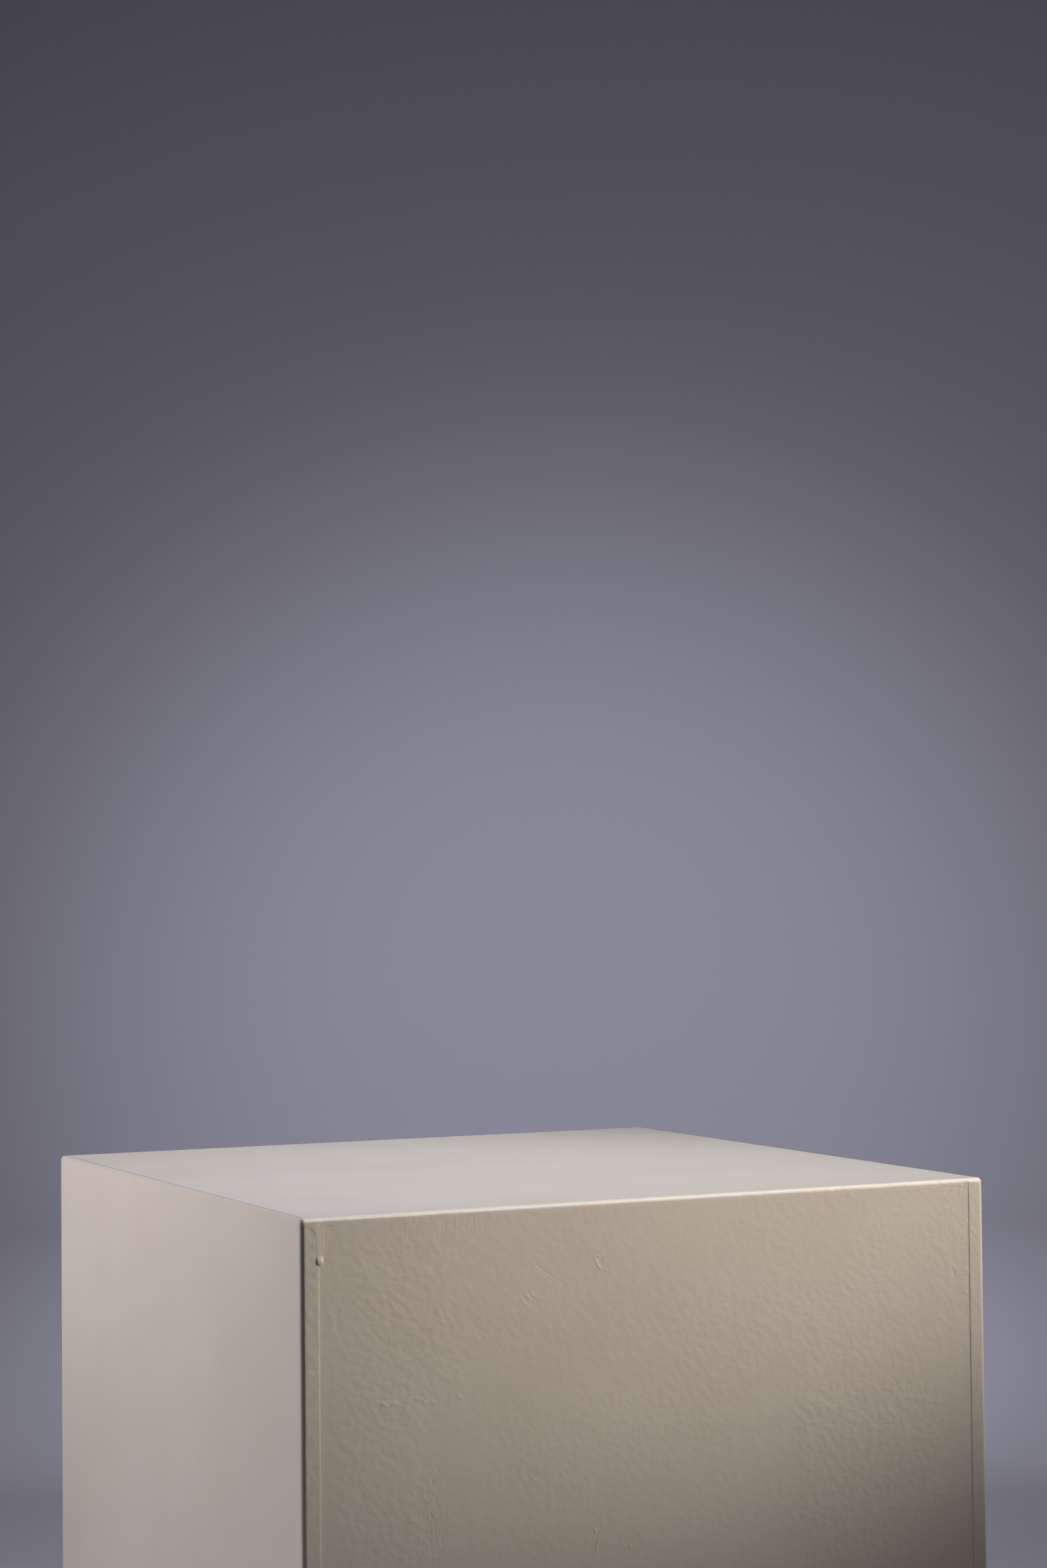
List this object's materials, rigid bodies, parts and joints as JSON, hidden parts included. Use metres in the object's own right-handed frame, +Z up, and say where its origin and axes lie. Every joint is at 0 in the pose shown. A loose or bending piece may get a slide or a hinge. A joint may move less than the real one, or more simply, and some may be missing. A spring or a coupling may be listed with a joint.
{
  "type": "display plinth",
  "caption": "Square, tall display plinth: painted board box with a flush top on a hidden timber frame, standing on screw-adjusted levelling feet.",
  "frame": {"origin": "on the floor, under the middle of the box", "axes": "+Z up; +X to the right along the front; -Y out of the front face"},
  "size_m": [0.5, 0.5, 1],
  "materials": {
    "painted_board": "fibreboard under rolled semi-gloss off-white paint, with roller texture on the front and a runny drip at one corner",
    "softwood": "planed, unfinished pine",
    "plywood": "sawn birch plywood, unfinished",
    "zinc_steel": "bright zinc plating",
    "nylon": "moulded black nylon",
    "rubber": "matt dark rubber"
  },
  "bodies": {
    "root": {"side_panel_left": "painted_board", "side_panel_right": "painted_board", "front_panel": "painted_board", "back_panel": "painted_board", "top_panel": "painted_board", "corner_post_front_left": "softwood", "corner_post_front_right": "softwood", "corner_post_back_left": "softwood", "corner_post_back_right": "softwood", "top_rail_front": "softwood", "top_rail_back": "softwood", "top_rail_left": "softwood", "top_rail_right": "softwood", "mid_rail_front": "softwood", "mid_rail_back": "softwood", "mid_rail_left": "softwood", "mid_rail_right": "softwood", "base_rail_front": "softwood", "base_rail_back": "softwood", "base_rail_left": "softwood", "base_rail_right": "softwood", "top_brace": "softwood", "foot_block_front_left": "plywood", "foot_block_front_right": "plywood", "foot_block_back_left": "plywood", "foot_block_back_right": "plywood", "block_screw_front_left_x": "zinc_steel", "block_screw_front_left_y": "zinc_steel", "block_screw_front_right_x": "zinc_steel", "block_screw_front_right_y": "zinc_steel", "block_screw_back_left_x": "zinc_steel", "block_screw_back_left_y": "zinc_steel", "block_screw_back_right_x": "zinc_steel", "block_screw_back_right_y": "zinc_steel", "tee_nut_front_left": "zinc_steel", "tee_nut_front_right": "zinc_steel", "tee_nut_back_left": "zinc_steel", "tee_nut_back_right": "zinc_steel", "lock_nut_front_left": "zinc_steel", "lock_nut_front_right": "zinc_steel", "lock_nut_back_left": "zinc_steel", "lock_nut_back_right": "zinc_steel"},
    "pad_front_left": {"foot_pad_front_left": "nylon", "foot_sole_front_left": "rubber"},
    "stem_front_left": {"foot_stem_front_left": "zinc_steel"},
    "pad_front_right": {"foot_pad_front_right": "nylon", "foot_sole_front_right": "rubber"},
    "stem_front_right": {"foot_stem_front_right": "zinc_steel"},
    "pad_back_left": {"foot_pad_back_left": "nylon", "foot_sole_back_left": "rubber"},
    "stem_back_left": {"foot_stem_back_left": "zinc_steel"},
    "pad_back_right": {"foot_pad_back_right": "nylon", "foot_sole_back_right": "rubber"},
    "stem_back_right": {"foot_stem_back_right": "zinc_steel"}
  },
  "joints": [
    {"name": "foot_height_front_left", "type": "slide", "parent": "root", "child": "pad_front_left", "axis": [0, 0, 1], "range_m": [-0.02, 0.005]},
    {"name": "foot_turn_front_left", "type": "hinge", "parent": "pad_front_left", "child": "stem_front_left", "pos_m": [-0.1734, -0.1731, 0], "axis": [0, 0, 1], "range_deg": [-5760, 1440]},
    {"name": "foot_height_front_right", "type": "slide", "parent": "root", "child": "pad_front_right", "axis": [0, 0, 1], "range_m": [-0.02, 0.005]},
    {"name": "foot_turn_front_right", "type": "hinge", "parent": "pad_front_right", "child": "stem_front_right", "pos_m": [0.1734, -0.1731, 0], "axis": [0, 0, 1], "range_deg": [-5760, 1440]},
    {"name": "foot_height_back_left", "type": "slide", "parent": "root", "child": "pad_back_left", "axis": [0, 0, 1], "range_m": [-0.02, 0.005]},
    {"name": "foot_turn_back_left", "type": "hinge", "parent": "pad_back_left", "child": "stem_back_left", "pos_m": [-0.1734, 0.1731, 0], "axis": [0, 0, 1], "range_deg": [-5760, 1440]},
    {"name": "foot_height_back_right", "type": "slide", "parent": "root", "child": "pad_back_right", "axis": [0, 0, 1], "range_m": [-0.02, 0.005]},
    {"name": "foot_turn_back_right", "type": "hinge", "parent": "pad_back_right", "child": "stem_back_right", "pos_m": [0.1734, 0.1731, 0], "axis": [0, 0, 1], "range_deg": [-5760, 1440]}
  ],
  "couplings": [
    {"joint": "foot_turn_front_left", "follows": "foot_height_front_left", "rad_per_m": 5026.5},
    {"joint": "foot_turn_front_right", "follows": "foot_height_front_right", "rad_per_m": 5026.5},
    {"joint": "foot_turn_back_left", "follows": "foot_height_back_left", "rad_per_m": 5026.5},
    {"joint": "foot_turn_back_right", "follows": "foot_height_back_right", "rad_per_m": 5026.5}
  ]
}
